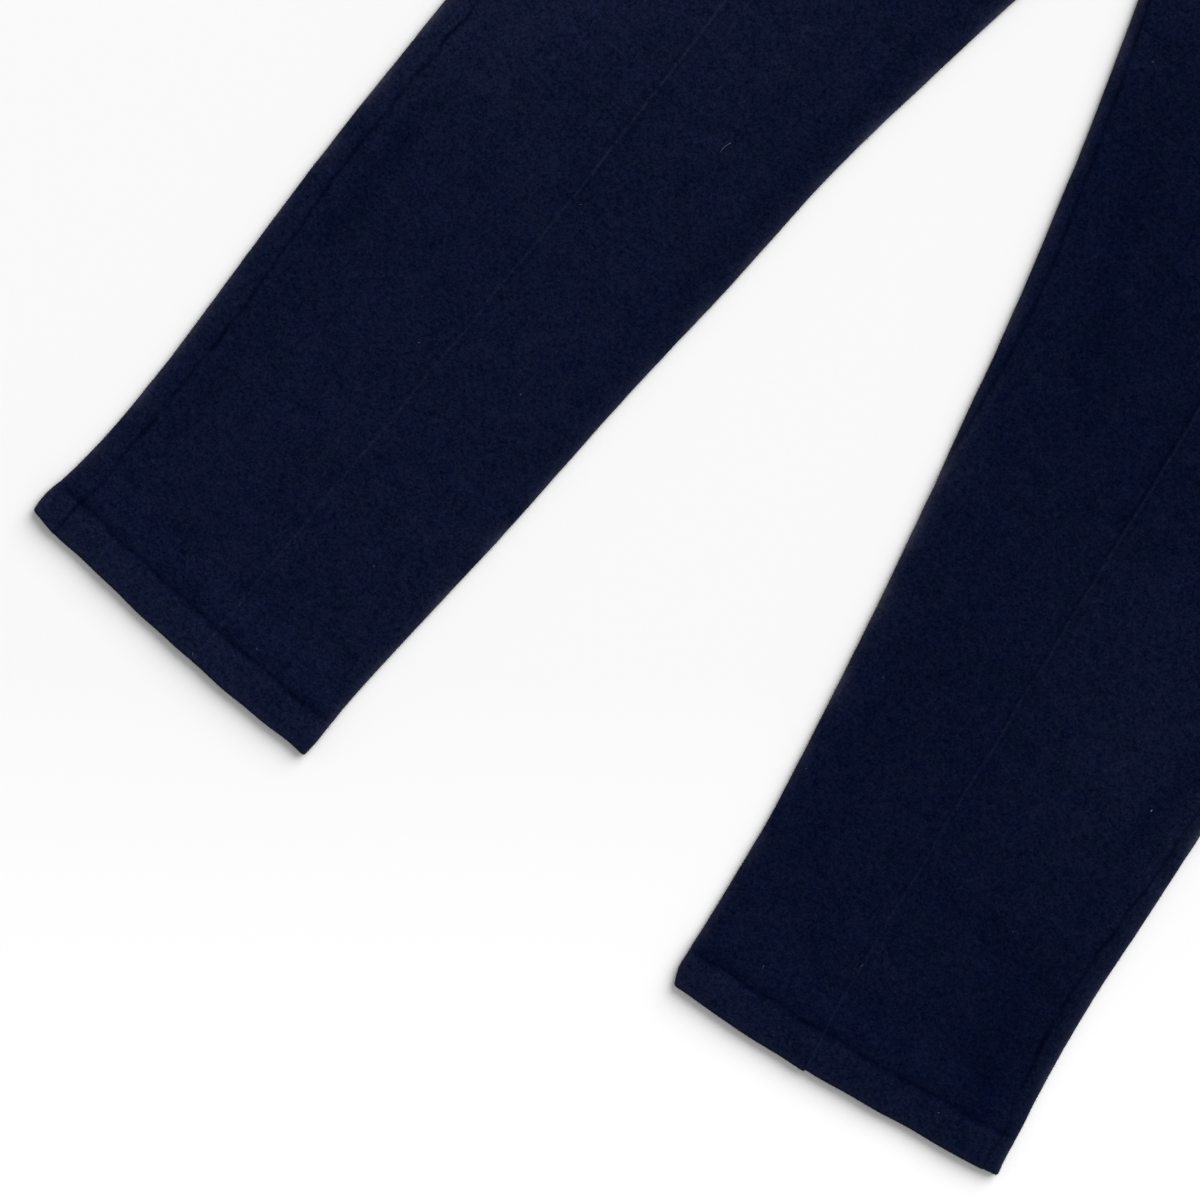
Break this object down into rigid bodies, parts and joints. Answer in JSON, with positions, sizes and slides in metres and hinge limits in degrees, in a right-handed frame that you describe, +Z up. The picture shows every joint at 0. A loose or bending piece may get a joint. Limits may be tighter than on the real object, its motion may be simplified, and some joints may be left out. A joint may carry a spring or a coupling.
{
  "type": "cashmere joggers",
  "caption": "Straight-legged cashmere joggers laid flat with the front up: pin-tucked fronts, turned-up hems and a gathered waistband.",
  "frame": {"origin": "on the surface that the joggers lie on, under the middle of their outline", "axes": "+Z up off the surface, +Y towards the waist, +X towards the wearer's left, which is on the right as they are looked at"},
  "size_m": [0.6664, 0.9983, 0.0081],
  "materials": {
    "cashmere": "matt milled cashmere with a short nap"
  },
  "bodies": {
    "root": {"front_right": "cashmere", "front_left": "cashmere", "back_right": "cashmere", "back_left": "cashmere", "waistband": "cashmere"}
  },
  "joints": []
}
